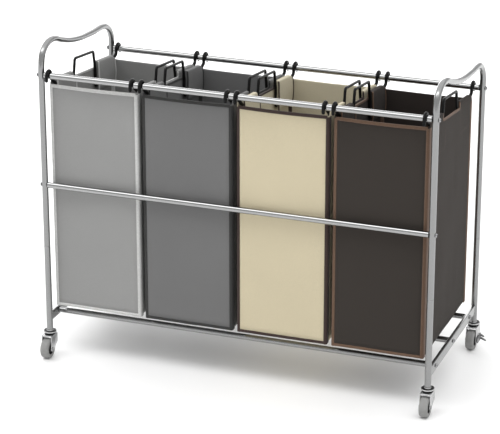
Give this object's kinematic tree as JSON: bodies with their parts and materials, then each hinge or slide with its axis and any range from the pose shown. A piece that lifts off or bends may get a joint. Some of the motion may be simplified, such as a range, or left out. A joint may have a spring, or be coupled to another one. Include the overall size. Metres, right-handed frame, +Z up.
{
  "type": "laundry sorter on casters",
  "caption": "Rolling laundry sorter: fabric bags hang by wire hooks side by side on a bent-tube frame with push handles, chrome rails and swivel casters.",
  "frame": {"origin": "middle of the overall footprint, on the floor", "axes": "+Z up, +X along the row of bags towards the right end seen from the front, front of the sorter towards -Y"},
  "size_m": [0.9162, 0.4232, 0.7243],
  "materials": {
    "frame_silver": "satin silver powder coat",
    "rail_chrome": "bright chrome plate",
    "bolt_zinc": "satin zinc plate",
    "caster_steel": "pressed steel, bright zinc plate",
    "pedal_grey": "dark grey satin coat",
    "wheel_grey": "matt grey rubber",
    "wire_black": "black satin coat on steel wire",
    "fabric_light_grey": "light grey woven polyester",
    "fabric_mid_grey": "mid grey woven polyester",
    "fabric_beige": "beige woven polyester",
    "fabric_dark_brown": "dark brown woven polyester"
  },
  "bodies": {
    "frame": {"left_end_frame": "frame_silver", "left_base_tube": "frame_silver", "front_left_lower_post": "frame_silver", "rear_left_lower_post": "frame_silver", "right_end_frame": "frame_silver", "right_base_tube": "frame_silver", "front_right_lower_post": "frame_silver", "rear_right_lower_post": "frame_silver", "front_top_rail": "rail_chrome", "rear_top_rail": "rail_chrome", "middle_rail": "rail_chrome", "front_base_rail": "frame_silver", "middle_base_rail": "frame_silver", "rear_base_rail": "frame_silver", "front_top_rail_left_bolt": "bolt_zinc", "front_top_rail_right_bolt": "bolt_zinc", "rear_top_rail_left_bolt": "bolt_zinc", "rear_top_rail_right_bolt": "bolt_zinc", "middle_rail_left_bolt": "bolt_zinc", "middle_rail_right_bolt": "bolt_zinc", "front_base_rail_left_bolt": "bolt_zinc", "front_base_rail_right_bolt": "bolt_zinc", "middle_base_rail_left_bolt": "bolt_zinc", "middle_base_rail_right_bolt": "bolt_zinc", "rear_base_rail_left_bolt": "bolt_zinc", "rear_base_rail_right_bolt": "bolt_zinc", "front_left_caster_stem": "caster_steel", "front_right_caster_stem": "caster_steel", "rear_left_caster_stem": "caster_steel", "rear_right_caster_stem": "caster_steel"},
    "front_left_fork": {"front_left_caster_fork": "caster_steel", "front_left_axle": "bolt_zinc"},
    "front_left_wheel": {"front_left_wheel": "wheel_grey"},
    "front_right_fork": {"front_right_caster_fork": "caster_steel", "front_right_axle": "bolt_zinc"},
    "front_right_wheel": {"front_right_wheel": "wheel_grey"},
    "rear_left_fork": {"rear_left_caster_fork": "caster_steel", "rear_left_axle": "bolt_zinc"},
    "rear_left_wheel": {"rear_left_wheel": "wheel_grey"},
    "rear_left_brake_pedal": {"rear_left_brake_pedal": "pedal_grey"},
    "rear_right_fork": {"rear_right_caster_fork": "caster_steel", "rear_right_axle": "bolt_zinc"},
    "rear_right_wheel": {"rear_right_wheel": "wheel_grey"},
    "rear_right_brake_pedal": {"rear_right_brake_pedal": "pedal_grey"},
    "bag_1": {"bag_1": "fabric_light_grey", "bag_1_left_wire": "wire_black", "bag_1_right_wire": "wire_black"},
    "bag_2": {"bag_2": "fabric_mid_grey", "bag_2_left_wire": "wire_black", "bag_2_right_wire": "wire_black"},
    "bag_3": {"bag_3": "fabric_beige", "bag_3_left_wire": "wire_black", "bag_3_right_wire": "wire_black"},
    "bag_4": {"bag_4": "fabric_dark_brown", "bag_4_left_wire": "wire_black", "bag_4_right_wire": "wire_black"}
  },
  "joints": [
    {"name": "front_left_swivel", "type": "hinge", "parent": "frame", "child": "front_left_fork", "pos_m": [-0.4433, -0.17413, 0.055], "axis": [0, 0, 1], "continuous": true},
    {"name": "front_left_wheel_spin", "type": "hinge", "parent": "front_left_fork", "child": "front_left_wheel", "pos_m": [-0.4433, -0.18912, 0.0225], "axis": [1, 0, 0], "continuous": true},
    {"name": "front_right_swivel", "type": "hinge", "parent": "frame", "child": "front_right_fork", "pos_m": [0.4297, -0.17413, 0.055], "axis": [0, 0, 1], "continuous": true},
    {"name": "front_right_wheel_spin", "type": "hinge", "parent": "front_right_fork", "child": "front_right_wheel", "pos_m": [0.4297, -0.18912, 0.0225], "axis": [1, 0, 0], "continuous": true},
    {"name": "rear_left_swivel", "type": "hinge", "parent": "frame", "child": "rear_left_fork", "pos_m": [-0.4433, 0.19687, 0.055], "axis": [0, 0, 1], "continuous": true},
    {"name": "rear_left_wheel_spin", "type": "hinge", "parent": "rear_left_fork", "child": "rear_left_wheel", "pos_m": [-0.4433, 0.18188, 0.0225], "axis": [1, 0, 0], "continuous": true},
    {"name": "rear_left_brake", "type": "hinge", "parent": "rear_left_fork", "child": "rear_left_brake_pedal", "pos_m": [-0.4433, 0.18188, 0.0225], "axis": [1, 0, 0], "range_deg": [0, 12]},
    {"name": "rear_right_swivel", "type": "hinge", "parent": "frame", "child": "rear_right_fork", "pos_m": [0.4297, 0.19687, 0.055], "axis": [0, 0, 1], "continuous": true},
    {"name": "rear_right_wheel_spin", "type": "hinge", "parent": "rear_right_fork", "child": "rear_right_wheel", "pos_m": [0.4297, 0.18188, 0.0225], "axis": [1, 0, 0], "continuous": true},
    {"name": "rear_right_brake", "type": "hinge", "parent": "rear_right_fork", "child": "rear_right_brake_pedal", "pos_m": [0.4297, 0.18188, 0.0225], "axis": [1, 0, 0], "range_deg": [0, 12]},
    {"name": "bag_1_lift", "type": "slide", "parent": "frame", "child": "bag_1", "axis": [0, 0, 1], "range_m": [0, 0.65]},
    {"name": "bag_2_lift", "type": "slide", "parent": "frame", "child": "bag_2", "axis": [0, 0, 1], "range_m": [0, 0.65]},
    {"name": "bag_3_lift", "type": "slide", "parent": "frame", "child": "bag_3", "axis": [0, 0, 1], "range_m": [0, 0.65]},
    {"name": "bag_4_lift", "type": "slide", "parent": "frame", "child": "bag_4", "axis": [0, 0, 1], "range_m": [0, 0.65]}
  ]
}
